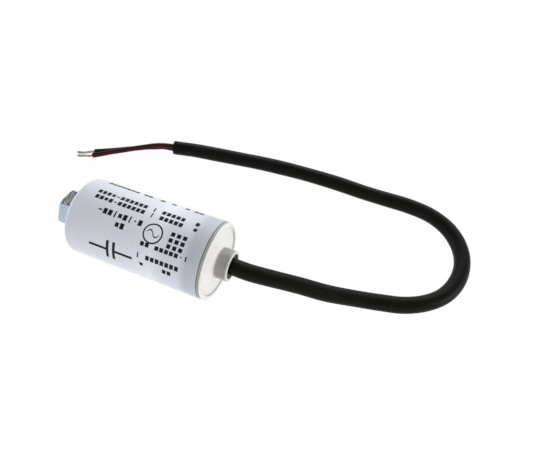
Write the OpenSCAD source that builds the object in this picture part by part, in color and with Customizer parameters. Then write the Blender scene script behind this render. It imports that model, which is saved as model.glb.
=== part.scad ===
// Motor run capacitor in a moulded can, lying on its side.
// The can's axis runs along X: the mounting stud points to -X, the cable leaves to +X.
// The origin is on the surface under the middle of the can with its lid and stud, and +Z is up.

/* [Can] */
// Outer diameter of the moulded can
can_d = 30; // [27:0.5:40]
// Length of the can from its base face to its rim
can_l = 54.7; // [52:0.1:80]
// Thickness of the can's side wall
can_wall = 1.2; // [0.8:0.1:1.6]
// Thickness of the can's base
base_wall = 2.5; // [1.5:0.1:3.5]
// Radius of the rounded edge round the base
base_edge_r = 2; // [1:0.1:3]
// Diameter of the raised pad that the washer bears on
pad_d = 17; // [16:0.5:21]
// Height of that pad
pad_h = 1.5; // [0.5:0.1:3]
// Diameter of the inner boss that holds the stud's head
boss_d = 18.5; // [17:0.5:21]
// Chamfer on the can's rim and on the back of the lid, which makes the joint line
joint_chamfer = 0.25; // [0.1:0.05:0.4]

/* [Lid] */
// How far the edge of the lid stays inside the can's wall, all round
lid_step = 0.15; // [0:0.05:0.4]
// Thickness of the flange that stands on the can's rim
flange_t = 1.7; // [1.5:0.1:2.5]
// Thickness of the lid's plate, measured from the flange's front face
lid_plate_t = 2.2; // [1.8:0.1:3.5]
// Radius of the lid's rounded front edge
lid_edge_r = 1.3; // [0.3:0.1:1.4]
// Depth of the skirt that goes into the can
skirt_l = 3.2; // [2:0.1:4]
// Wall of the skirt and of the collar inside the lid
skirt_wall = 1.2; // [0.8:0.1:1.6]
// Radial clearance between the skirt and the can
skirt_clear = 0.05; // [0.02:0.01:0.15]

/* [Cable entry] */
// Height of the cable collar on the lid
collar_h = 5.6; // [4:0.1:12]
// Outer diameter of the collar
collar_d = 11.8; // [11.4:0.1:15]
// Inner diameter of the collar
collar_bore = 9.6; // [8.6:0.1:10.2]
// Fillet between the collar and the lid
collar_fillet = 0.6; // [0.2:0.1:1.5]
// Radius of the rounded edge of the collar's mouth
collar_edge_r = 0.4; // [0.1:0.05:0.6]
// How far the bushing's edge sits inside the collar's mouth
bushing_recess = 0.9; // [0.2:0.1:1.5]
// How far the bushing's face stands up round the cable
bushing_dome = 0.5; // [0.2:0.1:1]
// Thickness of the bushing's inner flange
bushing_flange_t = 0.8; // [0.5:0.1:1.2]
// Width of the crimp ring that takes the pull on the cable
crimp_w = 2; // [1:0.1:2.5]
// Wall of the crimp ring
crimp_wall = 0.8; // [0.5:0.1:1.2]
// Length of sheath left beyond the crimp ring
sheath_tail = 0.5; // [0.3:0.1:1]

/* [Stud, washer and nut] */
// Thread diameter of the stud
stud_d = 8; // [6:0.5:9]
// Length of the stud beyond the pad
stud_out = 7.9; // [7.9:0.1:16]
// Chamfer on the stud's end
stud_chamfer = 0.7; // [0.3:0.1:1]
// Width across flats of the stud's head
head_af = 13; // [12:0.5:14]
// Height of the stud's head
head_h = 4; // [3:0.1:5]
// Clearance round the head in its pocket
head_clear = 0.1; // [0.05:0.05:0.2]
// Width across flats of the nut
nut_af = 13; // [12:0.5:15]
// How far the nut is turned from flats straight up and down
nut_turn = 6.5; // [-30:0.5:30]
// Height of the nut
nut_h = 6.5; // [5:0.1:6.8]
// Depth of the countersink at each end of the nut's bore
nut_countersink = 0.4; // [0.2:0.1:0.8]
// Radial clearance between the nut's bore and the stud
thread_clear = 0.05; // [0.02:0.01:0.1]
// Outer diameter of the toothed washer
washer_d = 15; // [13:0.5:16]
// Thickness of the toothed washer
washer_t = 0.8; // [0.5:0.1:1.1]
// Width of the washer's solid ring
washer_ring_w = 2.1; // [1.2:0.1:2.4]
// Width of a tooth at its root
washer_tooth_w = 3.6; // [2:0.1:4]
// Number of teeth round the washer
washer_teeth = 9; // [7:1:10]
// Radial clearance between the washer's bore and the stud
washer_clear = 0.2; // [0.1:0.05:0.5]

/* [Winding] */
// Thickness of the insulating disc over the stud's head
disc_t = 0.8; // [0.5:0.1:1.5]
// Radial clearance round the insulating disc
disc_clear = 0.2; // [0.1:0.05:0.4]
// Space between the insulating disc and the winding, where the lead is soldered
lead_space = 2.5; // [2:0.1:3.5]
// Space between the winding and the end of the sheath, where the cores spread
core_space = 6.2; // [5.5:0.1:9]
// Thickness of the resin between the wrapped winding and the can's wall
resin_gap = 1.25; // [0.8:0.05:2.5]
// Thickness of the plain film wrapped round the winding
wrap_t = 0.25; // [0.1:0.05:0.4]
// Thickness of the sprayed metal on each end
spray_t = 0.6; // [0.3:0.1:1]
// Outer diameter of the core tube
core_tube_d = 6.8; // [5.5:0.1:8]
// Wall of the core tube
core_tube_wall = 1.2; // [0.6:0.1:1.3]

/* [Cable] */
// Diameter of the cable's sheath
sheath_d = 6.4; // [5:0.1:6.6]
// Diameter of an insulated core
core_d = 2.3; // [1.6:0.1:2.4]
// Diameter of the bare twisted strands
strand_d = 1.1; // [0.7:0.05:1.3]
// Diameter of a solder joint
solder_d = 3.2; // [2:0.1:4]
// Depth of resin over the end of the sheath
resin_over = 1.3; // [0.6:0.1:2]

/* [Hidden] */

$fn = 96;
cut = 1;                    // how far a cut runs past the face that it opens

can_r = can_d / 2;
cavity_r = can_r - can_wall;
stud_r = stud_d / 2;
lid_r = can_r - lid_step;
skirt_r = cavity_r - skirt_clear;
collar_r = collar_bore / 2;
wrap_r = cavity_r - resin_gap;
film_r = wrap_r - wrap_t;
core_tube_r = core_tube_d / 2;
sheath_r = sheath_d / 2;
lead_r = strand_d / 2;

// Heights along the can's axis, from the base face
nut_seat = -pad_h - washer_t;
stud_tip = -pad_h - stud_out;
boss_top = base_wall + head_h;
disc_top = boss_top + disc_t;
winding_base = disc_top + lead_space;
film_base = winding_base + spray_t;
lid_front = can_l + flange_t;
lid_back = lid_front - lid_plate_t;
skirt_end = can_l - skirt_l;
mouth = lid_front + collar_h;
crimp_top = skirt_end - bushing_flange_t;
crimp_base = crimp_top - crimp_w;
sheath_end = crimp_base - sheath_tail;
resin_top = sheath_end + resin_over;
winding_top = sheath_end - core_space;
film_top = winding_top - spray_t;
film_w = film_top - film_base;

// The row's frame: middle of the length, and the can's axis one radius up
mid = (mouth + stud_tip) / 2;
axis_z = can_r;

// The cable's sheath, from its inner end, out of the collar and round to its cut end.
// Its cut end and the cores lie on the surface behind the can.
sheath_route = [
    [sheath_end - mid, 0, axis_z], [mouth - mid, 0, axis_z], [42, 0, 15], [50, 1, 14.5],
    [60, 3.5, 12], [70, 6.5, 8], [80, 10, 5], [90, 13, 3.5], [97, 15, 3.2],
    [104, 18.5, 3.2], [110.5, 24.5, 3.2], [114.5, 34, 3.2], [114, 45, 3.2],
    [105.5, 57, 3.2], [98.5, 60.5, 3.2], [89, 62, 3.2], [79, 62, 3.2], [69, 62, 3.2],
    [58, 62.5, 3.2], [46, 62.5, 3.2], [34, 62, 3.2], [22, 61, 3.2], [10.5, 59.5, 3.2],
    [-0.5, 58, 3.2], [-11, 56.5, 3.2], [-20.5, 54.5, 3.2],
];
sheath_cut = last_of(sheath_route);
cut_dir = end_dir(sheath_route);
core_straight = 2;          // the cores leave the sheath straight for this length
core_lift = 1.12;           // brown core above the middle of the sheath, black below
core_side = 0.4;            // and to each side of it
core_offset = [cut_dir[1] * core_side, -cut_dir[0] * core_side, 0];
brown_start = sheath_cut - core_offset + [0, 0, core_lift];
black_start = sheath_cut + core_offset - [0, 0, core_lift];
brown_route = [
    brown_start, brown_start + cut_dir * core_straight, [-26.3, 52.8, 4], [-30, 51.5, 3.6],
    [-33.6, 49.5, 3.3], [-37.3, 47.4, 3], [-41, 45.2, 2.7], [-44.6, 42.9, 2.5],
    [-48, 40.8, 2.3], [-51.2, 38.9, 1.8], [-54.7, 37.1, 1.2],
];
black_route = [
    black_start, black_start + cut_dir * core_straight, [-26.5, 54, 1.9], [-30.3, 52.7, 1.5],
    [-34.1, 51.1, 1.4], [-38.1, 49, 1.2], [-41.8, 46.9, 1.2], [-45.6, 44.7, 1.2],
    [-49, 42.8, 1.2], [-52.2, 41.1, 1.2], [-55.2, 39.6, 1.2],
];
bare_straight = 1.5;        // the strands leave their core straight for this length
brown_bare = [
    last_of(brown_route), beyond(brown_route, bare_straight), [-57.9, 35.6, 1.1], [-61.6, 34.4, 0.8],
];
black_bare = [
    last_of(black_route), beyond(black_route, bare_straight), [-59, 37.4, 1.1], [-62.9, 36.3, 0.8],
];

// Leads inside the can, in the row's frame
core_clear = 0.05;          // between each core and the cable's middle, where the sheath ends
core_lead_in = 1.2;         // the cores stay straight for this length inside the can too
brown_spread = 3.2;         // how far the brown core leans away before it is stripped
solder_inset = 4.3;         // from the winding's edge to the middle of each solder joint
lead_past = 1.4;            // length of lead beyond the middle of its solder joint
solder_h = 1.65;            // height of a solder joint
core_gap = core_d / 2 + core_clear;
solder_at = film_r - solder_inset;
face_lid = winding_top + lead_r;
face_base = winding_base - lead_r;
brown_inner = [
    at(sheath_end, -core_gap), at(sheath_end - core_lead_in, -core_gap),
    at(sheath_end - core_space / 2, -core_gap - brown_spread / 2),
    at(winding_top + core_d, -core_gap - brown_spread),
];
brown_lead = [
    last_of(brown_inner), beyond(brown_inner, lead_r), at(face_lid, -solder_at + lead_past),
    at(face_lid, -solder_at - lead_past),
];
black_inner = [
    at(sheath_end, core_gap), at(sheath_end - core_lead_in, core_gap),
    at(winding_top + core_lead_in, 0), at(film_base, 0),
];
black_lead = [
    last_of(black_inner), at(face_base, 0), at(face_base, solder_at + lead_past),
];

function unit(v) = v / norm(v);

// The end of a route, the direction there, and the point a little beyond it
function last_of(route) = route[len(route) - 1];
function end_dir(route) = unit(last_of(route) - route[len(route) - 2]);
function beyond(route, length) = last_of(route) + length * end_dir(route);

// A point at a height along the can's axis and a distance to the side of it
function at(height, side) = [height - mid, side, axis_z];

// Direction of a route at each of its points
function directions(route) = let (last = len(route) - 1)
    [for (i = [0 : last]) unit(
        (i > 0 ? unit(route[i] - route[i - 1]) : [0, 0, 0])
        + (i < last ? unit(route[i + 1] - route[i]) : [0, 0, 0]))];

// A side direction at each point, carried along the route without twist
function sides(dirs) = [
    for (i = 0, n = unit(cross(dirs[0], [0.1, 0.2, 1])); i < len(dirs);
         i = i + 1, n = i < len(dirs) ? unit(n - (n * dirs[i]) * dirs[i]) : n) n];

// One closed tube of a given radius along a route
module tube(route, radius, around) {
    dirs = directions(route);
    side = sides(dirs);
    rings = len(route);
    points = [for (i = [0 : rings - 1], k = [0 : around - 1])
        let (a = 360 * k / around)
        route[i] + radius * (cos(a) * side[i] + sin(a) * cross(dirs[i], side[i]))];
    walls = [for (i = [0 : rings - 2], k = [0 : around - 1])
        let (p = i * around + k, q = i * around + (k + 1) % around)
        each [[p, q + around, q], [p, p + around, q + around]]];
    first = [for (k = [0 : around - 1]) k];
    last = [for (k = [around - 1 : -1 : 0]) (rings - 1) * around + k];
    polyhedron(points, concat(walls, [first, last]));
}

// Places what is drawn up from the base face onto the can's axis
module on_axis(height = 0) {
    translate([height - mid, 0, axis_z]) rotate([0, 90, 0]) children();
}

// Material removed to round a corner at the origin, with the solid towards +X and +Y
module round_corner(r) {
    difference() {
        translate([-cut, -cut]) square(r + cut);
        translate([r, r]) circle(r);
    }
}

// Material removed to chamfer a corner at the origin, with the solid towards +X and +Y
module chamfer_corner(c) {
    polygon([[-cut, -cut], [c + cut, -cut], [-cut, c + cut]]);
}

// Hexagonal prism of a given width across flats, turned from flats up and down
module hexagon(af, h, turn = 0) {
    rotate(30 - turn) cylinder(d = af / cos(30), h = h, $fn = 6);
}

module can_section() {
    difference() {
        union() {
            square([can_r, can_l]);
            translate([0, -pad_h]) square([pad_d / 2, pad_h + cut]);
        }
        translate([can_r, 0]) mirror([1, 0]) round_corner(base_edge_r);
        translate([can_r, can_l]) rotate(180) chamfer_corner(joint_chamfer);
        translate([boss_d / 2, base_wall]) square([cavity_r - boss_d / 2, can_l]);
        translate([0, boss_top]) square([cavity_r, can_l]);
        translate([0, -pad_h - cut]) square([stud_r, pad_h + boss_top + 2 * cut]);
    }
}

module can() {
    color("#e8eaef") on_axis() difference() {
        rotate_extrude() can_section();
        translate([0, 0, base_wall]) hexagon(head_af + 2 * head_clear, head_h + cut);
    }
}

module lid_section() {
    difference() {
        union() {
            translate([0, lid_back]) square([skirt_r, lid_plate_t]);
            translate([0, can_l]) square([lid_r, flange_t]);
            translate([0, skirt_end]) square([skirt_r, skirt_l]);
            translate([0, lid_front - cut]) square([collar_d / 2, collar_h + cut]);
            translate([collar_d / 2 - cut, lid_front - cut]) square(collar_fillet + cut);
        }
        translate([lid_r, lid_front]) rotate(180) round_corner(lid_edge_r);
        translate([lid_r, can_l]) mirror([1, 0]) chamfer_corner(joint_chamfer);
        translate([collar_d / 2 + collar_fillet, lid_front + collar_fillet]) circle(collar_fillet);
        translate([collar_d / 2, mouth]) rotate(180) round_corner(collar_edge_r);
        translate([collar_r + skirt_wall, skirt_end - cut])
            square([skirt_r - 2 * skirt_wall - collar_r, lid_back - skirt_end + cut]);
        translate([0, skirt_end - cut]) square([collar_r, mouth]);
    }
}

module lid() {
    color("#f3f3f1") on_axis() rotate_extrude() lid_section();
}

// Rubber bushing: fills the collar round the sheath, with a flange behind the lid's inner collar
module cable_bushing() {
    edge = mouth - bushing_recess;
    color("#191a1b") on_axis() rotate_extrude() polygon([
        [sheath_r, crimp_top], [collar_r + skirt_wall, crimp_top], [collar_r + skirt_wall, skirt_end],
        [collar_r, skirt_end], [collar_r, edge], [(collar_r + sheath_r) / 2, edge + bushing_dome * 0.6],
        [sheath_r, edge + bushing_dome],
    ]);
}

module cable_crimp() {
    color("#b9bcc0") on_axis(crimp_base) difference() {
        cylinder(r = sheath_r + crimp_wall, h = crimp_w);
        translate([0, 0, -cut]) cylinder(r = sheath_r, h = crimp_w + 2 * cut);
    }
}

// M8 screw moulded into the base: its hexagonal head fills the pocket in the can's boss
module mounting_stud() {
    color("#b7bcc2") on_axis() {
        difference() {
            translate([0, 0, stud_tip]) cylinder(r = stud_r, h = base_wall - stud_tip + cut);
            translate([0, 0, stud_tip]) rotate_extrude()
                translate([stud_r, 0]) mirror([1, 0]) chamfer_corner(stud_chamfer);
        }
        translate([0, 0, base_wall]) hexagon(head_af, head_h);
    }
}

module tooth_washer() {
    bore_r = stud_r + washer_clear;
    ring_r = bore_r + washer_ring_w;
    tip_r = washer_d / 2 + cut;
    color("#9aa0a6") on_axis(nut_seat) linear_extrude(washer_t) difference() {
        union() {
            circle(ring_r);
            for (k = [0 : washer_teeth - 1]) rotate(360 * k / washer_teeth) intersection() {
                circle(washer_d / 2);
                polygon([
                    [ring_r - cut, -washer_tooth_w / 2], [tip_r, -washer_tooth_w / 3],
                    [tip_r, washer_tooth_w / 3], [ring_r - cut, washer_tooth_w / 2],
                ]);
            }
        }
        circle(bore_r);
    }
}

// The corners of the nut are turned away on both faces, and its bore is countersunk
module hex_nut() {
    face_r = nut_af / 2 * 0.96;
    chamfer_h = (nut_af / cos(30) / 2 - face_r) * tan(30);
    bore_r = stud_r + thread_clear;
    color("#a9bdd0") on_axis(nut_seat - nut_h) difference() {
        intersection() {
            hexagon(nut_af, nut_h, nut_turn);
            rotate_extrude() polygon([
                [0, 0], [face_r, 0], [nut_af / cos(30) / 2, chamfer_h],
                [nut_af / cos(30) / 2, nut_h - chamfer_h], [face_r, nut_h], [0, nut_h],
            ]);
        }
        translate([0, 0, -cut]) cylinder(r = bore_r, h = nut_h + 2 * cut);
        for (end = [0, 1]) translate([0, 0, end * nut_h]) mirror([0, 0, end])
            translate([0, 0, -cut]) cylinder(
                r1 = bore_r + nut_countersink + cut, r2 = bore_r, h = nut_countersink + cut);
    }
}

module insulating_disc() {
    color("#d9cfae") on_axis(boss_top) cylinder(r = cavity_r - disc_clear, h = disc_t);
}

// A flat ring on the can's axis
module ring(height, outer_r, inner_r, h) {
    on_axis(height) difference() {
        cylinder(r = outer_r, h = h);
        translate([0, 0, -cut]) cylinder(r = inner_r, h = h + 2 * cut);
    }
}

module core_tube() {
    color("#e6e2d4")
        ring(winding_base, core_tube_r, core_tube_r - core_tube_wall, winding_top - winding_base);
}

module film_winding() {
    color("#c9cdd2") ring(film_base, film_r, core_tube_r, film_w);
}

module film_wrap() {
    color("#d8dbe0") ring(film_base, wrap_r, film_r, film_w);
}

module sprayed_end_base() {
    color("#8e9196") ring(winding_base, film_r, core_tube_r, spray_t);
}

module sprayed_end_lid() {
    color("#8e9196") ring(film_top, film_r, core_tube_r, spray_t);
}

module inner_brown_core() {
    color("#3d2624") tube(brown_inner, core_d / 2, 8);
}

module inner_black_core() {
    color("#2a2a2b") tube(black_inner, core_d / 2, 8);
}

module brown_lead_wire() {
    color("#c4c0b6") tube(brown_lead, lead_r, 8);
}

module black_lead_wire() {
    color("#c4c0b6") tube(black_lead, lead_r, 8);
}

// A cone of solder over a lead that lies on a sprayed end; it stands from that face
module solder(height, side, up) {
    translate([height - mid, side, axis_z]) rotate([0, up * 90, 0])
        cylinder(d1 = solder_d, d2 = solder_d * 0.55, h = solder_h);
}

module brown_solder() {
    color("#a6a8a8") difference() {
        solder(winding_top, -solder_at, 1);
        tube(brown_lead, lead_r, 8);
    }
}

module black_solder() {
    color("#a6a8a8") difference() {
        solder(winding_base, solder_at, -1);
        tube(black_lead, lead_r, 8);
    }
}

// Resin fills the can round and over the winding, and takes in the end of the cable
module potting_resin() {
    color("#5f6a58") difference() {
        on_axis(disc_top) cylinder(r = cavity_r, h = resin_top - disc_top);
        on_axis(winding_base) cylinder(r = film_r, h = winding_top - winding_base);
        on_axis(film_base) cylinder(r = wrap_r, h = film_w);
        on_axis(crimp_base) cylinder(r = sheath_r + crimp_wall, h = crimp_w);
        on_axis(sheath_end) cylinder(r = sheath_r, h = crimp_base - sheath_end + cut);
        solder(winding_top, -solder_at, 1);
        solder(winding_base, solder_at, -1);
        tube(brown_inner, core_d / 2, 8);
        tube(black_inner, core_d / 2, 8);
        tube(brown_lead, lead_r, 8);
        tube(black_lead, lead_r, 8);
    }
}

module cable_sheath() {
    color("#1b1a16") tube(sheath_route, sheath_r, 12);
}

module brown_core() {
    color("#3f2926") tube(brown_route, core_d / 2, 8);
}

module black_core() {
    color("#2c2a2a") tube(black_route, core_d / 2, 8);
}

module brown_strands() {
    color("#cfccc6") tube(brown_bare, strand_d / 2, 8);
}

module black_strands() {
    color("#cfccc6") tube(black_bare, strand_d / 2, 8);
}

can();
lid();
cable_bushing();
cable_crimp();
mounting_stud();
tooth_washer();
hex_nut();
insulating_disc();
core_tube();
film_winding();
film_wrap();
sprayed_end_base();
sprayed_end_lid();
inner_brown_core();
inner_black_core();
brown_lead_wire();
black_lead_wire();
brown_solder();
black_solder();
potting_resin();
cable_sheath();
brown_core();
black_core();
brown_strands();
black_strands();
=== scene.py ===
import math
import random

import bmesh
import bpy
from mathutils import Matrix, Vector


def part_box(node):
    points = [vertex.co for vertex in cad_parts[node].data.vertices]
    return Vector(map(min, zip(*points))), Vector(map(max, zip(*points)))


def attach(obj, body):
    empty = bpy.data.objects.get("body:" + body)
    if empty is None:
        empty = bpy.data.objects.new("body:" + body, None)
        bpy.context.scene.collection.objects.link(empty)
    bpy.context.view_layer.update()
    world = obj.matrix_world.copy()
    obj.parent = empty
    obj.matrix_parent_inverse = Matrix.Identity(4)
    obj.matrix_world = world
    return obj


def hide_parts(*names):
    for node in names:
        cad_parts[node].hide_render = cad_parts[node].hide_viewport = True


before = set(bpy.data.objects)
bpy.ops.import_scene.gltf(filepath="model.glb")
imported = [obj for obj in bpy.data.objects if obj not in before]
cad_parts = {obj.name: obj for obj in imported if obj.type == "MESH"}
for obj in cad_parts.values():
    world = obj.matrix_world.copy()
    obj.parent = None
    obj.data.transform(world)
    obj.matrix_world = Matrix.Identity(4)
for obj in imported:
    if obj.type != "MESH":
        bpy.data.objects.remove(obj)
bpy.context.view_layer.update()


# Camera
# A slightly short lens, 17 cm above the surface, in front of the can and past its lid. It looks
# down on the can and on the cable that lies in a bend behind it.

camera = bpy.data.objects.new("camera", bpy.data.cameras.new("camera"))
camera.data.lens = 32.6
camera.data.clip_start = 0.01
camera.location = (0.0832, -0.0795, 0.1678)
camera_aim = Vector((0.03695, 0.0324, 0.0))
camera.rotation_euler = (camera_aim - camera.location).to_track_quat("-Z", "Y").to_euler()
bpy.context.scene.collection.objects.link(camera)
bpy.context.scene.camera = camera


# Cable sheath
# Black PVC tube, extruded over two twisted cores, which press it slightly oval as they turn.
# Its inner end is cast into the resin; it leaves through the bushing and is cut off square.

MM = 0.001

sheath_route = [
    (21.9, 0, 15), (35.7, 0, 15), (42, 0, 15), (50, 1, 14.5), (60, 3.5, 12), (70, 6.5, 8),
    (80, 10, 5), (90, 13, 3.5), (97, 15, 3.2), (104, 18.5, 3.2), (110.5, 24.5, 3.2),
    (114.5, 34, 3.2), (114, 45, 3.2), (105.5, 57, 3.2), (98.5, 60.5, 3.2), (89, 62, 3.2),
    (79, 62, 3.2), (69, 62, 3.2), (58, 62.5, 3.2), (46, 62.5, 3.2), (34, 62, 3.2),
    (22, 61, 3.2), (10.5, 59.5, 3.2), (-0.5, 58, 3.2), (-11, 56.5, 3.2), (-20.5, 54.5, 3.2),
]
sheath_r = 3.2
sheath_wall = 0.85
sheath_oval = 0.012
sheath_step, sheath_around = 1.2, 40
core_twist = 58
cut_recess = 0.5
cut_bevel = 0.12


def heading(before, here, after):
    """The direction of a line at a point, which leans to the nearer of its two neighbours."""
    came, goes = here - before, after - here
    return (came.normalized() * goes.length + goes.normalized() * came.length).normalized()


def smooth_line(route, step):
    """A line without corners through a route's points, with a point about every step."""
    route = [Vector(p) for p in route]
    route = [2 * route[0] - route[1], *route, 2 * route[-1] - route[-2]]
    line = [route[1]]
    for before, start, end, after in zip(route, route[1:], route[2:], route[3:]):
        leave = heading(before, start, end) * (end - start).length
        arrive = heading(start, end, after) * (end - start).length
        count = max(1, round((end - start).length / step))
        for t in (k / count for k in range(1, count + 1)):
            line.append(
                (1 + 2 * t) * (1 - t) ** 2 * start + t * (1 - t) ** 2 * leave
                + t * t * (3 - 2 * t) * end + t * t * (t - 1) * arrive
            )
    return line


def stations(line):
    """The place and turn of a section at each point of a line, carried along without twist."""
    steps = [(b - a).normalized() for a, b in zip(line, line[1:])]
    ahead = [steps[0], *((a + b).normalized() for a, b in zip(steps, steps[1:])), steps[-1]]
    turn = ahead[0].to_track_quat("Z", "X")
    places = [Matrix.LocRotScale(line[0], turn, None)]
    for before, after, point in zip(ahead, ahead[1:], line[1:]):
        turn = before.rotation_difference(after) @ turn
        places.append(Matrix.LocRotScale(point, turn, None))
    return places


def sweep(bm, line, radius, around, oval=0.0, pitch=1.0):
    """Extrudes a ring along a line, and returns the open edges at its first and last end.

    The attribute "straight" keeps each point's place on the same tube laid out straight.
    """
    straight = bm.verts.layers.float_vector.get("straight")
    straight = straight or bm.verts.layers.float_vector.new("straight")
    places = stations(line)
    verts = bmesh.ops.create_circle(bm, segments=around, radius=radius)["verts"]
    edges = first = list({edge for vert in verts for edge in vert.link_edges})
    for vert in verts:
        vert[straight] = vert.co
    travel = 0.0
    for before, place in zip([None, *places], places):
        if before:
            travel += (place.translation - before.translation).length
            grown = bmesh.ops.extrude_edge_only(bm, edges=edges)["geom"]
            verts = [g for g in grown if isinstance(g, bmesh.types.BMVert)]
            edges = [g for g in grown if isinstance(g, bmesh.types.BMEdge)]
            edges = [e for e in edges if e.verts[0] in verts and e.verts[1] in verts]
        for vert in verts:
            x, y, _ = vert[straight]
            swell = math.cos(2 * (math.atan2(y, x) - math.tau * travel / pitch))
            swell = 1 - oval * (1 - swell)
            vert.co = place @ Vector((x * swell, y * swell, 0))
            vert[straight] = (x, y, travel)
    return first, edges


def finished(bm, name, materials, sharp=35):
    """Makes a bmesh in millimetres into a piece of the object, smooth but for its sharp edges."""
    bmesh.ops.recalc_face_normals(bm, faces=bm.faces)
    bmesh.ops.scale(bm, vec=(MM, MM, MM), verts=bm.verts)
    mesh = bpy.data.meshes.new(name)
    bm.to_mesh(mesh)
    bm.free()
    for coat in materials:
        mesh.materials.append(coat)
    mesh.shade_smooth()
    mesh.set_sharp_from_angle(angle=math.radians(sharp))
    piece = bpy.data.objects.new(name, mesh)
    bpy.context.scene.collection.objects.link(piece)
    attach(piece, "root")
    return piece


def node(tree, kind, inputs=None, **settings):
    """Adds a shader node; each input is a value, or another node's output to link to it."""
    made = tree.nodes.new("ShaderNode" + kind)
    for name, value in settings.items():
        setattr(made, name, value)
    for name, value in (inputs or {}).items():
        if isinstance(value, bpy.types.NodeSocket):
            tree.links.new(value, made.inputs[name])
        else:
            made.inputs[name].default_value = value
    return made


def colour(code):
    """A colour that is written as in a paint list, #rrggbb, in the linear values of a shader."""
    parts = [int(code[k : k + 2], 16) / 255 for k in (1, 3, 5)]
    return (*(p / 12.92 if p <= 0.04045 else ((p + 0.055) / 1.055) ** 2.4 for p in parts), 1)


def blend(tree, factor, one, other, kind="MIX"):
    """One colour mixed with another by a factor."""
    inputs = {0: factor, 6: one, 7: other}
    return node(tree, "Mix", inputs, data_type="RGBA", blend_type=kind).outputs[2]


def remap(tree, value, low, high, start=0.0, end=1.0):
    """A value from start to end, as one from low to high."""
    inputs = {"Value": value, "From Min": start, "From Max": end, "To Min": low, "To Max": high}
    return node(tree, "MapRange", inputs).outputs["Result"]


def bumped(tree, height, distance):
    """A normal from a height, which stands for that distance in millimetres."""
    return node(tree, "Bump", {"Height": height, "Distance": distance * MM}).outputs["Normal"]


def material(name, constants):
    """A material whose shader has these constants, with its tree and its shader's inputs."""
    made = bpy.data.materials.new(name)
    made.use_nodes = True
    inputs = made.node_tree.nodes["Principled BSDF"].inputs
    for socket, value in constants.items():
        inputs[socket].default_value = value
    return made, made.node_tree, inputs


def group(name, inputs, outputs):
    """A node group with these named inputs, each with its value, and float outputs."""
    tree = bpy.data.node_groups.new(name, "ShaderNodeTree")
    for socket, value in inputs.items():
        kind = "NodeSocketFloat" if value is not None else "NodeSocketVector"
        made = tree.interface.new_socket(name=socket, in_out="INPUT", socket_type=kind)
        if value is not None:
            made.default_value = value
    for socket in outputs:
        tree.interface.new_socket(name=socket, in_out="OUTPUT", socket_type="NodeSocketFloat")
    return tree, tree.nodes.new("NodeGroupInput").outputs, tree.nodes.new("NodeGroupOutput").inputs


def grouped(tree, shared, inputs):
    """A shared group's outputs in a material."""
    made = tree.nodes.new("ShaderNodeGroup")
    made.node_tree = shared
    for name, value in inputs.items():
        if isinstance(value, bpy.types.NodeSocket):
            tree.links.new(value, made.inputs[name])
        else:
            made.inputs[name].default_value = value
    return made.outputs


# Moulded and extruded plastic: a soft unevenness of the colour, and a fine grain on top of it.
grain, given, gives = group("plastic_grain", {"Vector": None, "Size": 1.0}, ["Shade", "Height"])
per_size = node(grain, "Math", {0: 1000.0, 1: given["Size"]}, operation="DIVIDE").outputs[0]
fine_size = node(grain, "Math", {0: per_size, 1: 11.0}, operation="MULTIPLY").outputs[0]
soft = node(grain, "TexNoise", {"Vector": given["Vector"], "Scale": per_size, "Detail": 3.0})
fine = node(grain, "TexNoise", {"Vector": given["Vector"], "Scale": fine_size, "Detail": 2.0})
grain.links.new(soft.outputs["Fac"], gives["Shade"])
both = node(grain, "Math", {0: soft.outputs["Fac"], 1: fine.outputs["Fac"]}, operation="ADD")
grain.links.new(both.outputs[0], gives["Height"])

# Dust and specks: small round spots, of which only a share of the cells has one.
specks, given, gives = group(
    "specks", {"Vector": None, "Spacing": 1.0, "Size": 0.1, "Share": 0.3}, ["Mask"])
per_cell = node(specks, "Math", {0: 1000.0, 1: given["Spacing"]}, operation="DIVIDE").outputs[0]
cells = node(specks, "TexVoronoi", {"Vector": given["Vector"], "Scale": per_cell})
parts = node(specks, "SeparateColor", {"Color": cells.outputs["Color"]}).outputs
near = node(specks, "Math", {0: cells.outputs["Distance"], 1: given["Size"]},
            operation="LESS_THAN")
kept = node(specks, "Math", {0: parts["Red"], 1: given["Share"]}, operation="LESS_THAN")
spots = node(specks, "Math", {0: near.outputs[0], 1: kept.outputs[0]}, operation="MULTIPLY")
specks.links.new(spots.outputs[0], gives["Mask"])


def cable_plastic(name, dark, light, roughness, dust):
    """PVC drawn along a cable: fine lines run with it, and a little dust sticks to it."""
    made, tree, inputs = material(name, {"Specular IOR Level": 0.1})
    straight = node(tree, "Attribute", attribute_name="straight").outputs["Vector"]
    metres = node(tree, "VectorMath", {0: straight, 3: MM}, operation="SCALE").outputs[0]
    drawn = node(tree, "Mapping", {"Vector": metres, "Scale": (1, 1, 0.03)}).outputs[0]
    uneven = grouped(tree, grain, {"Vector": metres, "Size": 9.0})
    lines = grouped(tree, grain, {"Vector": drawn, "Size": 1.6})
    spots = grouped(tree, specks, {"Vector": metres, "Spacing": 1.3, "Size": 0.05, "Share": dust})
    shade = blend(tree, uneven["Shade"], colour(dark), colour(light))
    tree.links.new(blend(tree, spots["Mask"], shade, colour("#6b6862")), inputs["Base Color"])
    rough = remap(tree, lines["Shade"], roughness - 0.08, roughness + 0.1, 0.3, 0.7)
    tree.links.new(rough, inputs["Roughness"])
    tree.links.new(bumped(tree, lines["Height"], 0.02), inputs["Normal"])
    return made


sheath_pvc = cable_plastic("sheath_pvc", "#080807", "#12110e", 0.42, 0.06)
filler_pvc, tree, inputs = material("filler_pvc", {"Roughness": 0.8})
places = node(tree, "TexCoord").outputs["Object"]
uneven = grouped(tree, grain, {"Vector": places, "Size": 0.7})
tree.links.new(blend(tree, uneven["Shade"], colour("#0b0a09"), colour("#24221f")),
               inputs["Base Color"])
tree.links.new(bumped(tree, uneven["Height"], 0.05), inputs["Normal"])

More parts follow.
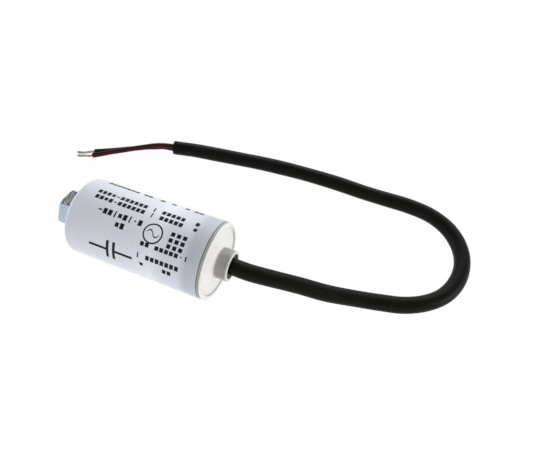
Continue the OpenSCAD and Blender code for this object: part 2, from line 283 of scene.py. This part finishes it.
bm = bmesh.new()
sheath_line = smooth_line(sheath_route, sheath_step)
sheath_ahead = stations(sheath_line)[-1].col[2].xyz
inner_edges, cut_edges = sweep(
    bm, sheath_line, sheath_r, sheath_around, sheath_oval, core_twist)
for edges in (inner_edges, cut_edges):
    bmesh.ops.edgeloop_fill(bm, edges=edges)
bmesh.ops.bevel(bm, geom=cut_edges, offset=cut_bevel, segments=2, profile=0.5, affect="EDGES",
                material=-1)
ends = [face for face in bm.faces if len(face.verts) > 4]
cut_face = max(ends, key=lambda face: face.calc_center_median().dot(sheath_ahead))
bmesh.ops.inset_region(bm, faces=[cut_face], thickness=sheath_wall - cut_bevel)
filler = bmesh.ops.extrude_face_region(bm, geom=[cut_face])["geom"]
bmesh.ops.delete(bm, geom=[cut_face], context="FACES_ONLY")
bmesh.ops.translate(bm, vec=sheath_ahead * -cut_recess,
                    verts=[g for g in filler if isinstance(g, bmesh.types.BMVert)])
for face in (g for g in filler if isinstance(g, bmesh.types.BMFace)):
    face.material_index = 1
sheath = finished(bm, "sheath", [sheath_pvc, filler_pvc])
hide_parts("cable_sheath")


# Cores and their bare ends
# Two stranded copper wires in PVC. The brown one leaves the sheath over the black one, which
# turns out from under it. Both are stripped, and their tinned strands are twisted together.

core_r = 1.15
core_side, core_lift = 0.4, 1.12
core_step, core_around = 0.8, 28
core_bevel = 0.1
# Side of the cut end, dark and light colour, route of the insulated part, route of the bare end
cores = {
    "brown": (1, "#2a0f0d", "#431f1c", [
        (-26.3, 52.8, 4), (-30, 51.5, 3.6), (-33.6, 49.5, 3.3), (-37.3, 47.4, 3),
        (-41, 45.2, 2.7), (-44.6, 42.9, 2.5), (-48, 40.8, 2.3), (-51.2, 38.9, 1.8),
        (-54.7, 37.1, 1.2),
    ], [(-57.9, 35.6, 1.1), (-61.6, 34.4, 0.8)]),
    "black": (-1, "#100f0e", "#211f1e", [
        (-26.5, 54, 1.9), (-30.3, 52.7, 1.5), (-34.1, 51.1, 1.4), (-38.1, 49, 1.2),
        (-41.8, 46.9, 1.2), (-45.6, 44.7, 1.2), (-49, 42.8, 1.2), (-52.2, 41.1, 1.2),
        (-55.2, 39.6, 1.2),
    ], [(-59, 37.4, 1.1), (-62.9, 36.3, 0.8)]),
}
strand_r = 0.11
strand_rings = {1: 0.0, 6: 0.22, 12: 0.43}
strand_twist = 9.0
strand_step, strand_around = 0.25, 8
strand_inside = 0.8
bare_straight = 1.5
tip_splay, splay_from = 0.5, 0.7

tinned, tree, inputs = material("tinned_copper", {"Metallic": 1.0})
metres = node(tree, "TexCoord").outputs["Object"]
uneven = grouped(tree, grain, {"Vector": metres, "Size": 0.8})
tree.links.new(blend(tree, uneven["Shade"], colour("#7d7a74"), colour("#dedbd6")),
               inputs["Base Color"])
tree.links.new(remap(tree, uneven["Shade"], 0.14, 0.4, 0.3, 0.7), inputs["Roughness"])
tree.links.new(bumped(tree, uneven["Height"], 0.01), inputs["Normal"])

cut_end = Vector(sheath_route[-1])
cut_ahead = (cut_end - Vector(sheath_route[-2])).normalized()
for name, (side, dark, light, route, bare_route) in cores.items():
    offset = Vector((-cut_ahead.y * core_side, cut_ahead.x * core_side, core_lift)) * side
    start = cut_end + offset
    line = smooth_line([start - cut_ahead, start + 2 * cut_ahead, *route], core_step)
    bm = bmesh.new()
    for edges in sweep(bm, line, core_r, core_around):
        bmesh.ops.edgeloop_fill(bm, edges=edges)
        bmesh.ops.bevel(bm, geom=edges, offset=core_bevel, segments=2, profile=0.5,
                        affect="EDGES", material=-1)
    pvc = cable_plastic(name + "_core_pvc", dark, light, 0.4, 0.0)
    core = finished(bm, name + "_insulation", [pvc])
    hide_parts(name + "_core")

    dice = random.Random(name)
    tip = line[-1]
    ahead = (Vector(route[-1]) - Vector(route[-2])).normalized()
    bare = [tip - strand_inside * ahead, tip, tip + bare_straight * ahead, *bare_route]
    places = stations(smooth_line(bare, strand_step))
    bm = bmesh.new()
    for count, ring in strand_rings.items():
        for k in range(count):
            turn = math.tau * (k + 0.2 * dice.random()) / count
            splay = tip_splay * dice.random() if ring else 0
            last = len(places) - dice.randrange(3)
            wire = []
            for n, place in enumerate(places[:last]):
                angle = turn + math.tau * n * strand_step / strand_twist
                out = ring + splay * max(0, n / last - splay_from)
                wire.append(place @ Vector((out * math.cos(angle), out * math.sin(angle), 0)))
            for edges in sweep(bm, wire, strand_r, strand_around):
                bmesh.ops.edgeloop_fill(bm, edges=edges)
    strands = finished(bm, name + "_bare_strands", [tinned])
    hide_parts(name + "_strands")


# Can
# One moulding of white polypropylene with its base. Its colour is painted paler and darker along
# the axis, as painted light and shade, with a darker band next to the lid. A raised pad round the
# stud takes the washer.

pad_h = 1.5
can_l = 54.7
base_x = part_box("can")[0].x / MM + pad_h
axis_z = 15.0


def turned(bm, outline):
    """Turns a closed outline of (height, radius, rounding) about the can's axis.

    A height is measured along the axis, from the can's base face towards the lid.
    """
    corners = [bm.verts.new((base_x + up, 0, axis_z + radius)) for up, radius, _ in outline]
    for start, end in zip(corners, corners[1:] + corners[:1]):
        bm.edges.new((start, end))
    for corner, (_, _, rounding) in zip(corners, outline):
        if rounding:
            bmesh.ops.bevel(bm, geom=[corner], offset=rounding, segments=6, profile=0.5,
                            affect="VERTICES", material=-1)
    bmesh.ops.spin(bm, geom=bm.verts[:] + bm.edges[:], cent=(0, 0, axis_z), axis=(1, 0, 0),
                   angle=math.tau, steps=192, use_merge=True)


def shaded_along(tree, metres, colours):
    """A colour that changes along the can's axis, from a colour at each of some heights."""
    low, high = min(colours), max(colours)
    along = node(tree, "SeparateXYZ", {"Vector": metres}).outputs["X"]
    along = remap(tree, along, 0, 1, (base_x + low) * MM, (base_x + high) * MM)
    ramp = node(tree, "ValToRGB", {"Fac": along})
    stops = ramp.color_ramp.elements
    for _ in range(len(colours) - len(stops)):
        stops.new(0.5)
    for stop, (height, code) in zip(stops, colours.items()):
        stop.position = (height - low) / (high - low)
        stop.color = colour(code)
    return ramp.outputs["Color"]


can_outline = [
    (-pad_h, 4, 0), (-pad_h, 8.5, 0.2), (0, 8.5, 0.15), (0, 15, 2), (can_l, 15, 0.25),
    (can_l, 13.8, 0), (2.5, 13.8, 0.3), (2.5, 9.25, 0), (6.5, 9.25, 0.3), (6.5, 7.65, 0),
    (2.5, 7.65, 0), (2.5, 4, 0),
]

can_plastic, tree, inputs = material("can_polypropylene", {
    "Specular IOR Level": 0.6, "Sheen Weight": 1.0, "Sheen Roughness": 0.3,
})
metres = node(tree, "TexCoord").outputs["Object"]
# Painted light and shade along the axis: palest at about two thirds of the length, with a darker
# band next to the lid.
through = shaded_along(tree, metres, {
    -1.5: "#d8d9e1", 5: "#dbdce4", 18: "#e0e2ea", 29: "#e4e7ee", 36.5: "#ecf0f6",
    40: "#e1e4ec", 47.5: "#dadde7", 50.2: "#bfc2cc", 51.5: "#c1c4cd", 54.7: "#c5c7ce",
})
uneven = grouped(tree, grain, {"Vector": metres, "Size": 14.0})
fine = grouped(tree, grain, {"Vector": metres, "Size": 1.1})
shade = blend(tree, uneven["Shade"], colour("#f4f4f8"), colour("#ffffff"))
tree.links.new(blend(tree, 1.0, through, shade, "MULTIPLY"), inputs["Base Color"])
tree.links.new(remap(tree, fine["Shade"], 0.38, 0.5, 0.3, 0.7), inputs["Roughness"])
tree.links.new(bumped(tree, fine["Height"], 0.012), inputs["Normal"])

bm = bmesh.new()
turned(bm, can_outline)
can = finished(bm, "can_moulding", [can_plastic])
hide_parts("can")


# Lid
# A disc of thinner plastic without the blue tint. Its skirt goes into the can and its flange
# stands on the rim, with a slit between them. Inside a raised edge, the collar takes the cable.

lid_face_r = 13.2
painted_corner_shade_width = 0.1
lid_outline = [
    (51.5, 4.8, 0.2), (62, 4.8, 0.15), (62, 5.9, 0.35), (56.2, 5.9, 0.6),
    (56.2, lid_face_r, 0.1), (56.7, lid_face_r, 0.1), (56.7, 14.95, 0.9),
    (55.74, 14.95, 0.05), (55.64, 14.75, 0),
    (55.54, 14.95, 0.05), (55, 14.95, 0.1), (55, 14.1, 0), (54.7, 14.1, 0), (54.7, 13.75, 0),
    (51.5, 13.75, 0.3), (51.5, 12.55, 0.3), (54.2, 12.55, 0), (54.2, 6, 0), (51.5, 6, 0.2),
]

lid_plastic, tree, inputs = material("lid_polypropylene", {
    "Specular IOR Level": 0.6, "Sheen Weight": 1.0, "Sheen Roughness": 0.3,
})
metres = node(tree, "TexCoord").outputs["Object"]
uneven = grouped(tree, grain, {"Vector": metres, "Size": 8.0})
fine = grouped(tree, grain, {"Vector": metres, "Size": 0.9})
# Painted shade along the axis: nearly black in the slit between flange and rim, grey on the
# flange's side and darker grey on the collar's side, while the face and the collar's mouth stay
# white.
painted_lid_shade = shaded_along(tree, metres, {
    54.7: "#4c4d4a", 55: "#70726e", 55.1: "#a8aaa6", 55.75: "#aaaca8", 56.05: "#dadad6",
    56.2: "#f6f5f3", 56.9: "#e8e6e2", 57.4: "#9c9a95", 61.2: "#8f8d88", 61.7: "#bdbbb5",
    62: "#e6e4df",
})
shade = blend(tree, uneven["Shade"], colour("#f8f7f6"), colour("#ffffff"))
shade = blend(tree, 1.0, painted_lid_shade, shade, "MULTIPLY")
# Painted shade: a thin darker line round the edge of the face, where it meets the raised edge.
out = node(tree, "VectorMath", {0: metres, 1: (0, 1, 1), 2: (0, 0, -axis_z * MM)},
           operation="MULTIPLY_ADD").outputs[0]
out = node(tree, "VectorMath", {0: out}, operation="LENGTH").outputs["Value"]
corner = node(tree, "Math", {0: out, 1: lid_face_r * MM, 2: painted_corner_shade_width * MM},
              operation="COMPARE").outputs[0]
tree.links.new(blend(tree, corner, shade, colour("#c2c1bd")), inputs["Base Color"])
tree.links.new(remap(tree, fine["Shade"], 0.28, 0.38, 0.3, 0.7), inputs["Roughness"])
tree.links.new(bumped(tree, fine["Height"], 0.004), inputs["Normal"])

bm = bmesh.new()
turned(bm, lid_outline)
lid = finished(bm, "lid_moulding", [lid_plastic])
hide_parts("lid")


# Cable bushing
# Soft black rubber, pressed over the sheath and into the collar, with a domed face at the mouth
# and a flange that holds it from behind.

bushing_outline = [
    (50.7, 3.2, 0), (50.7, 6, 0), (51.5, 6, 0), (51.5, 4.78, 0), (61.1, 4.78, 0.3),
    (61.35, 4.1, 0.3), (61.6, 3.5, 0.15), (61.5, 3.2, 0.1),
]
rubber, tree, inputs = material("bushing_rubber", {"Specular IOR Level": 0.5})
metres = node(tree, "TexCoord").outputs["Object"]
uneven = grouped(tree, grain, {"Vector": metres, "Size": 2.0})
tree.links.new(blend(tree, uneven["Shade"], colour("#0f0f0f"), colour("#1c1b1a")),
               inputs["Base Color"])
tree.links.new(remap(tree, uneven["Shade"], 0.25, 0.4, 0.3, 0.7), inputs["Roughness"])
tree.links.new(bumped(tree, uneven["Height"], 0.02), inputs["Normal"])

bm = bmesh.new()
turned(bm, bushing_outline)
bushing = finished(bm, "bushing", [rubber])
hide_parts("cable_bushing")


# Stud
# An M8 screw of zinc-plated steel, moulded in by its hexagonal head. Its rolled thread comes out
# of the pad and ends in a turned chamfer, just proud of the nut.

thread_pitch = 1.25
thread_root_r = 3.25
thread_crest_r = 3.98
thread_chamfer = 0.7
thread_around = 48
stud_tip, head_base = -9.4, 2.5
head_af, head_h = 13, 4
weld = 0.002


def axial(bm, plate, height, thickness):
    """Stands a flat plate, drawn round the origin in XY, on the can's axis and thickens it."""
    bmesh.ops.transform(bm, verts=plate, matrix=Matrix.Translation((base_x + height, 0, axis_z))
                        @ Matrix.Rotation(math.radians(90), 4, "Y"))
    faces = list({face for vert in plate for face in vert.link_faces})
    grown = bmesh.ops.extrude_face_region(bm, geom=faces, use_keep_orig=True)["geom"]
    bmesh.ops.translate(bm, vec=(thickness, 0, 0),
                        verts=[g for g in grown if isinstance(g, bmesh.types.BMVert)])


plated_steel, tree, inputs = material("plated_steel", {"Metallic": 1.0})
metres = node(tree, "TexCoord").outputs["Object"]
uneven = grouped(tree, grain, {"Vector": metres, "Size": 2.5})
fine = grouped(tree, grain, {"Vector": metres, "Size": 0.35})
tree.links.new(blend(tree, uneven["Shade"], colour("#8d9196"), colour("#c3c7cb")),
               inputs["Base Color"])
tree.links.new(remap(tree, fine["Shade"], 0.22, 0.45, 0.3, 0.7), inputs["Roughness"])
tree.links.new(bumped(tree, fine["Height"], 0.012), inputs["Normal"])

bm = bmesh.new()
turns = math.ceil((head_base - stud_tip) / thread_pitch) + 2
start = base_x + stud_tip - 1.5 * thread_pitch
profile = [(0, thread_root_r), (0.25, thread_root_r), (0.56, thread_crest_r),
           (0.69, thread_crest_r), (1, thread_root_r)]
profile = [bm.verts.new((start + h * thread_pitch, 0, axis_z + r)) for h, r in profile]
for low, high in zip(profile, profile[1:]):
    bm.edges.new((low, high))
bmesh.ops.spin(bm, geom=bm.verts[:] + bm.edges[:], cent=(0, 0, axis_z), axis=(1, 0, 0),
               dvec=(thread_pitch / thread_around, 0, 0), angle=math.tau * turns,
               steps=thread_around * turns)
bmesh.ops.remove_doubles(bm, verts=bm.verts, dist=weld)
for height, side in ((stud_tip, -1), (head_base, 1)):
    bmesh.ops.bisect_plane(bm, geom=bm.verts[:] + bm.edges[:] + bm.faces[:],
                           plane_co=(base_x + height, 0, 0), plane_no=(side, 0, 0),
                           clear_outer=True)
    bmesh.ops.holes_fill(bm, edges=[e for e in bm.edges if e.is_boundary
                                    and abs(e.verts[0].co.x - base_x - height) < 0.01])
for vert in bm.verts:
    out = vert.co - Vector((vert.co.x, 0, axis_z))
    limit = thread_crest_r - thread_chamfer + (vert.co.x - base_x - stud_tip)
    if out.length > limit:
        vert.co -= out * (1 - limit / out.length)
head = bmesh.ops.create_circle(bm, cap_ends=True, segments=6,
                               radius=head_af / math.sqrt(3))["verts"]
axial(bm, head, head_base, head_h)
stud = finished(bm, "stud", [plated_steel])
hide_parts("mounting_stud")


# Washer
# A lock washer with teeth round its edge, stamped from spring steel. Each tooth is twisted, so
# that its corners bite into the nut and into the pad.

washer_bore_r, washer_ring_r, washer_tip_r = 4.2, 6.3, 7.5
washer_middle, washer_t = -1.9, 0.5
washer_teeth, tooth_twist = 9, 13
washer_steps, tooth_gap = 12, 2
tooth_rows = ((0.45, 0.94), (1.0, 0.8))

bm = bmesh.new()
inner = bm.verts.new((0, washer_bore_r, 0))
outer = bm.verts.new((0, washer_ring_r, 0))
bm.edges.new((inner, outer))
bmesh.ops.spin(bm, geom=bm.verts[:] + bm.edges[:], cent=(0, 0, 0), axis=(0, 0, 1),
               angle=math.tau / washer_teeth, steps=washer_steps)
rim = sorted((e for e in bm.edges if all(v.co.length > washer_ring_r - 0.01 for v in e.verts)),
             key=lambda e: -math.atan2(*(e.verts[0].co + e.verts[1].co).xy))
tooth = rim[tooth_gap:-tooth_gap]
middle = sum(((e.verts[0].co + e.verts[1].co) / 2 for e in tooth), Vector()) / len(tooth)
outward = middle.normalized()
for reach, narrow in tooth_rows:
    grown = bmesh.ops.extrude_edge_only(bm, edges=tooth)["geom"]
    verts = [g for g in grown if isinstance(g, bmesh.types.BMVert)]
    tooth = [g for g in grown if isinstance(g, bmesh.types.BMEdge)
             and g.verts[0] in verts and g.verts[1] in verts]
    radius = washer_ring_r + (washer_tip_r - washer_ring_r) * reach
    for vert in verts:
        vert.co = vert.co.normalized() * radius
        aside = vert.co - outward * vert.co.dot(outward)
        vert.co -= aside * (1 - narrow)
    bmesh.ops.rotate(bm, verts=verts, cent=(0, 0, 0),
                     matrix=Matrix.Rotation(math.radians(tooth_twist * reach), 3, outward))
sector = bm.verts[:] + bm.edges[:] + bm.faces[:]
bmesh.ops.spin(bm, geom=sector, cent=(0, 0, 0), axis=(0, 0, 1), use_duplicate=True,
               angle=math.tau * (washer_teeth - 1) / washer_teeth, steps=washer_teeth - 1)
bmesh.ops.remove_doubles(bm, verts=bm.verts, dist=weld)
bmesh.ops.recalc_face_normals(bm, faces=bm.faces)
bmesh.ops.solidify(bm, geom=bm.faces[:], thickness=washer_t)
bmesh.ops.transform(bm, verts=bm.verts, matrix=Matrix.Translation(
    (base_x + washer_middle, 0, axis_z)) @ Matrix.Rotation(math.radians(90), 4, "Y")
    @ Matrix.Translation((0, 0, washer_t / 2)))
washer = finished(bm, "washer", [plated_steel])
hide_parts("tooth_washer")


# Nut
# A cold-formed M8 nut, zinc plated and passivated blue. The corners are turned away on both of
# its faces and its bore is countersunk. The flat that lies on top is painted dark and mottled with
# bright pits: partly a worn, pitted coat and partly painted shade.

nut_af, nut_h = 13, 6.5
nut_base = -8.8
nut_turn = 6.5
nut_face_r = nut_af / 2 * 1.05
nut_bore_r = 4.05
nut_countersink = 0.4
nut_chamfer = math.radians(30)
nut_around = 96
nut_edge_r = 0.15
coat_depth = 0.08

blue_zinc, tree, inputs = material("blue_zinc", {"Metallic": 1.0})
metres = node(tree, "TexCoord").outputs["Object"]
uneven = grouped(tree, grain, {"Vector": metres, "Size": 3.0})
fine = grouped(tree, grain, {"Vector": metres, "Size": 0.5})
pits = grouped(tree, specks, {"Vector": metres, "Spacing": 0.6, "Size": 0.3, "Share": 0.4})
# Painted shade and wear: the flat that lies on top gets a dark, mottled colour with bright pits,
# and is rougher and more bumped.
across = math.radians(-nut_turn)
above = node(tree, "VectorMath", {0: metres, 1: (0, -math.sin(across), math.cos(across))},
             operation="DOT_PRODUCT").outputs["Value"]
top_flat = (axis_z * math.cos(across) + nut_af / 2 - coat_depth) * MM
painted_shade_and_wear = node(tree, "Math", {0: above, 1: top_flat}, operation="GREATER_THAN").outputs[0]
coated = blend(tree, uneven["Shade"], colour("#a3b5c6"), colour("#ced9ea"))
patchy = remap(tree, fine["Shade"], 0, 1, 0.4, 0.6)
bare = blend(tree, patchy, colour("#26282e"), colour("#a9abb0"))
bare = blend(tree, pits["Mask"], bare, colour("#d9dce2"))
tree.links.new(blend(tree, painted_shade_and_wear, coated, bare), inputs["Base Color"])
rough = remap(tree, fine["Shade"], 0.16, 0.36, 0.3, 0.7)
rough = node(tree, "Math", {0: painted_shade_and_wear, 1: 0.15, 2: rough}, operation="MULTIPLY_ADD").outputs[0]
tree.links.new(rough, inputs["Roughness"])
rise = node(tree, "Math", {0: fine["Height"], 1: remap(tree, painted_shade_and_wear, 0.15, 1.0)},
            operation="MULTIPLY").outputs[0]
tree.links.new(bumped(tree, rise, 0.06), inputs["Normal"])

# Rings from the bore over both faces and back; those without a radius follow the six flats, and
# the further a corner stands out there, the more is turned away.
nut_rings = [
    (0, nut_bore_r + nut_countersink), (0, nut_face_r), (0, None), (nut_h, None),
    (nut_h, nut_face_r), (nut_h, nut_bore_r + nut_countersink),
    (nut_h - nut_countersink, nut_bore_r), (nut_countersink, nut_bore_r),
]
bm = bmesh.new()
loops = []
for height, radius in nut_rings:
    verts = bmesh.ops.create_circle(bm, segments=nut_around, radius=1)["verts"]
    for vert in verts:
        x, y, _ = vert.co
        angle = math.atan2(y, x)
        flat = nut_af / 2 / math.cos((angle + math.pi / 6) % (math.pi / 3) - math.pi / 6)
        out, up = min(radius or flat, flat), height
        if radius is None:
            cut = max(0, flat - nut_face_r) * math.tan(nut_chamfer)
            up = nut_h - cut if height else cut
        vert.co = (x * out, y * out, up)
    loops.append(list({edge for vert in verts for edge in vert.link_edges}))
for one, other in zip(loops, loops[1:] + loops[:1]):
    bmesh.ops.bridge_loops(bm, edges=one + other)
bmesh.ops.remove_doubles(bm, verts=bm.verts, dist=weld)
bmesh.ops.transform(bm, verts=bm.verts, matrix=Matrix.Translation(
    (base_x + nut_base, 0, axis_z)) @ Matrix.Rotation(math.radians(90), 4, "Y")
    @ Matrix.Rotation(math.radians(-nut_turn), 4, "Z"))
nut = finished(bm, "nut", [blue_zinc], sharp=20)
edge = nut.modifiers.new("rolled_edges", "BEVEL")
edge.width = nut_edge_r * MM
edge.segments = 2
edge.limit_method = "ANGLE"
edge.angle_limit = math.radians(20)
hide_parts("hex_nut")


# Print
# Matt black ink, laid on the can's wall in lines. Plain blocks, bars and dashes stand in rows,
# with a ring round a wave, a field of squares and the two plates of a capacitor's symbol.

ink_r, ink_t = 15.012, 0.03
small_pitch, large_pitch, large_size = 1.9, 2.05, 2.2
# Width and height of each shape, as shares of the row's pitch and size
print_shapes = {"o": (0.76, 0.9), "n": (0.7, 0.68), "i": (0.26, 1.05), "-": (0.66, 0.24),
                ".": (0.28, 0.28), "m": (0.88, 0.9)}
# Start of each row along the can, its angle from the top towards the front, its size and shapes
print_rows = [
    (-19.7, -41, 1.7, "mmmmmmm mm"), (2.6, -41, 1.7, "m"), (7.3, -42, 1.7, "m"),
    (12.8, -42, 1.7, "m"), (16.5, -42, 1.7, "mm"),
    (-19, -12, 1.9, "ooon-oooooo i ooooo  o"), (-18.6, -2, 1.9, "oono-oooooo i ooooo  n"),
    (-14.6, 15, 2.4, "-ooinoi.o"), (-6.2, 27.5, 2.4, "no"), (5.3, 39.5, 1.7, "oo ooooo.i"),
    (4.5, 57, 2.0, "i ooooooo"), (6.1, 69.4, 1.9, "n"), (15.2, 68.4, 1.9, "oo"),
]
symbol_degrees = 66
plate_places, plate_size = (-7.0, -4.4), (1.1, 7.3)
lead_places, lead_size = (-11.1, -0.3), (7.1, 1.0)
field_places, field_degrees, field_size = (15.9, 18.2, 20.5), (14.5, 23, 31.5), 1.5
ring_place, ring_degrees = 8.8, 22.4
ring_inner_r, ring_outer_r = 3.2, 3.75
wave_l, wave_h, wave_line, wave_steps = 4.8, 1.1, 0.5, 24


def ink_block(bm, x, along_wall, width, height):
    """Draws a flat block with its middle at x and at a distance down the wall from its top."""
    steps = max(1, math.ceil(height / 0.5))
    verts = bmesh.ops.create_grid(bm, x_segments=1, y_segments=steps, size=0.5)["verts"]
    bmesh.ops.scale(bm, vec=(width, height, 1), verts=verts)
    bmesh.ops.translate(bm, vec=(x, along_wall, 0), verts=verts)


ink, tree, inputs = material("print_ink", {"Specular IOR Level": 0.2})
metres = node(tree, "TexCoord").outputs["Object"]
uneven = grouped(tree, grain, {"Vector": metres, "Size": 0.6})
tree.links.new(blend(tree, uneven["Shade"], colour("#06070e"), colour("#171821")),
               inputs["Base Color"])
tree.links.new(remap(tree, uneven["Shade"], 0.5, 0.7, 0.3, 0.7), inputs["Roughness"])

bm = bmesh.new()
per_degree = math.radians(ink_r)
for x, degrees, size, row in print_rows:
    pitch = small_pitch if size < large_size else large_pitch
    for k, shape in enumerate(row):
        if shape != " ":
            width, height = print_shapes[shape]
            ink_block(bm, x + pitch * (k + 0.5), degrees * per_degree, width * pitch,
                      height * size)
for x in plate_places:
    ink_block(bm, x, symbol_degrees * per_degree, *plate_size)
for x in lead_places:
    ink_block(bm, x, symbol_degrees * per_degree, *lead_size)
for x in field_places:
    for degrees in field_degrees:
        ink_block(bm, x, degrees * per_degree, field_size, field_size)
middle = Vector((ring_place, ring_degrees * per_degree, 0))
inner = bm.verts.new(middle + Vector((ring_inner_r, 0, 0)))
outer = bm.verts.new(middle + Vector((ring_outer_r, 0, 0)))
bmesh.ops.spin(bm, geom=[inner, outer, bm.edges.new((inner, outer))], cent=middle,
               axis=(0, 0, 1), angle=math.tau, steps=48, use_merge=True)
wave = [bm.verts.new(middle + Vector((-wave_l / 2, side * wave_line, 0))) for side in (-0.5, 0.5)]
edges = [bm.edges.new(wave)]
for k in range(1, wave_steps + 1):
    grown = bmesh.ops.extrude_edge_only(bm, edges=edges)["geom"]
    edges = [g for g in grown if isinstance(g, bmesh.types.BMEdge)
             and all(v in grown for v in g.verts)]
    before, after = (math.sin(math.tau * n / wave_steps) for n in (k - 1, k))
    bmesh.ops.translate(bm, vec=(wave_l / wave_steps, wave_h * (before - after), 0),
                        verts=[g for g in grown if isinstance(g, bmesh.types.BMVert)])
for vert in bm.verts:
    turn = vert.co.y / ink_r
    vert.co = (vert.co.x, -ink_r * math.sin(turn), axis_z + ink_r * math.cos(turn))
bmesh.ops.recalc_face_normals(bm, faces=bm.faces)
for face in bm.faces:
    middle = face.calc_center_median()
    if face.normal.dot(Vector((0, middle.y, middle.z - axis_z))) < 0:
        face.normal_flip()
bmesh.ops.solidify(bm, geom=bm.faces[:], thickness=ink_t)
finished(bm, "print_marks", [ink])


# Inside the can
# A roll of metallised film on a plastic tube, its ends sprayed with zinc and a lead soldered to
# each, is cast into resin. A disc keeps it off the stud, and a crimp behind the bushing takes the
# pull on the cable.

# Dark and light colour, size of the grain, smoothest and roughest place, shader's constants
inside = {
    "core_tube": ("#cfcabb", "#e3dfd2", 2.0, 0.35, 0.5, {}),
    "film_winding": ("#a5a8ab", "#d5d8da", 0.25, 0.2, 0.35, {"Metallic": 1.0}),
    "film_wrap": ("#c9ccd0", "#e2e5e8", 3.0, 0.12, 0.3, {"Coat Weight": 0.4}),
    "sprayed_end_base": ("#6d7074", "#a3a6aa", 0.3, 0.6, 0.85, {"Metallic": 0.8}),
    "sprayed_end_lid": ("#6d7074", "#a3a6aa", 0.3, 0.6, 0.85, {"Metallic": 0.8}),
    "insulating_disc": ("#b9a877", "#d8cba0", 0.8, 0.7, 0.9, {}),
    "potting_resin": ("#3f4839", "#5f6a58", 5.0, 0.15, 0.35, {"Coat Weight": 0.3}),
    "cable_crimp": ("#8d9196", "#c3c7cb", 1.5, 0.25, 0.45, {"Metallic": 1.0}),
    "inner_brown_core": ("#2a0f0d", "#431f1c", 1.6, 0.35, 0.5, {}),
    "inner_black_core": ("#100f0e", "#211f1e", 1.6, 0.35, 0.5, {}),
    "brown_lead_wire": ("#a8a59f", "#f0eeea", 0.5, 0.2, 0.4, {"Metallic": 1.0}),
    "black_lead_wire": ("#a8a59f", "#f0eeea", 0.5, 0.2, 0.4, {"Metallic": 1.0}),
    "brown_solder": ("#8e9092", "#c4c6c7", 0.7, 0.3, 0.5, {"Metallic": 1.0}),
    "black_solder": ("#8e9092", "#c4c6c7", 0.7, 0.3, 0.5, {"Metallic": 1.0}),
}
for name, (dark, light, size, smooth, rough, constants) in inside.items():
    made, tree, inputs = material(name + "_finish", constants)
    metres = node(tree, "TexCoord").outputs["Object"]
    uneven = grouped(tree, grain, {"Vector": metres, "Size": size})
    tree.links.new(blend(tree, uneven["Shade"], colour(dark), colour(light)),
                   inputs["Base Color"])
    tree.links.new(remap(tree, uneven["Shade"], smooth, rough, 0.3, 0.7), inputs["Roughness"])
    tree.links.new(bumped(tree, uneven["Height"], 0.04 * rough), inputs["Normal"])
    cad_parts[name].data.materials.clear()
    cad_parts[name].data.materials.append(made)


# Floor and light
# A white floor that glows, so that it is pale and lights the object from below. A large soft
# panel stands behind the object and smaller ones at both its ends and in front. The sky is bright
# round the horizon and dim overhead.

floor_r = 2.5
glow_seen, glow_given = 0.985, 0.8
sky_low, sky_high = (0.08, 0.7), (0.75, 0.43)

bm = bmesh.new()
bmesh.ops.create_circle(bm, cap_ends=True, segments=64, radius=floor_r)
mesh = bpy.data.meshes.new("floor")
bm.to_mesh(mesh)
bm.free()
floor = bpy.data.objects.new("floor", mesh)
bpy.context.scene.collection.objects.link(floor)
white = bpy.data.materials.new("floor_white")
white.use_nodes = True
tree = white.node_tree
seen = node(tree, "LightPath").outputs
mirrored = node(tree, "Math", {0: seen["Is Glossy Ray"], 1: seen["Is Transmission Ray"]},
                operation="MAXIMUM").outputs[0]
plain = node(tree, "Math", {0: seen["Is Camera Ray"], 1: mirrored}, operation="MAXIMUM")
share = remap(tree, plain.outputs[0], glow_given, glow_seen)
matt = node(tree, "BsdfDiffuse", {"Color": (0.86, 0.86, 0.86, 1)})
glow = node(tree, "Emission", {"Color": (1, 1, 1, 1), "Strength": 1.0})
mix = node(tree, "MixShader", {0: share, 1: matt.outputs[0], 2: glow.outputs[0]})
tree.links.new(mix.outputs[0], tree.nodes["Material Output"].inputs["Surface"])
mesh.materials.append(white)


def panel(name, place, aim, size, power, tint):
    """A soft lamp that faces a point."""
    lamp = bpy.data.lights.new(name, "AREA")
    lamp.shape = "RECTANGLE"
    lamp.size, lamp.size_y = size
    lamp.energy = power
    lamp.color = tint
    made = bpy.data.objects.new(name, lamp)
    made.location = place
    made.rotation_euler = (Vector(aim) - Vector(place)).to_track_quat("-Z", "Y").to_euler()
    bpy.context.scene.collection.objects.link(made)


panel("panel_behind", (-0.1, 0.8, 0.46), (0, 0, 0), (1.2, 0.75), 5.6, (1, 1, 1))
panel("panel_right", (0.9, 0.0, 0.25), (0, 0, 0), (0.6, 0.4), 2.5, (1, 0.99, 0.98))
panel("panel_left", (-0.9, -0.1, 0.14), (0, 0, 0), (0.6, 0.24), 2.0, (1, 1, 1))
panel("panel_front", (0.1, -0.9, 0.2), (0, 0, 0), (1.4, 0.25), 1.4, (1, 1, 1))

world = bpy.data.worlds.new("world")
bpy.context.scene.world = world
world.use_nodes = True
tree = world.node_tree
away = node(tree, "TexCoord").outputs["Generated"]
up = node(tree, "SeparateXYZ", {"Vector": away}).outputs["Z"]
sky = node(tree, "ValToRGB", {"Fac": up})
for stop, (place, level) in zip(sky.color_ramp.elements, (sky_low, sky_high)):
    stop.position = place
    stop.color = (level * 0.98, level * 0.99, level, 1)
seen = node(tree, "LightPath").outputs
shown = blend(tree, seen["Is Camera Ray"], sky.outputs["Color"], (1, 1, 1, 1))
tree.links.new(shown, tree.nodes["Background"].inputs["Color"])

bpy.context.scene.view_settings.view_transform = "Standard"
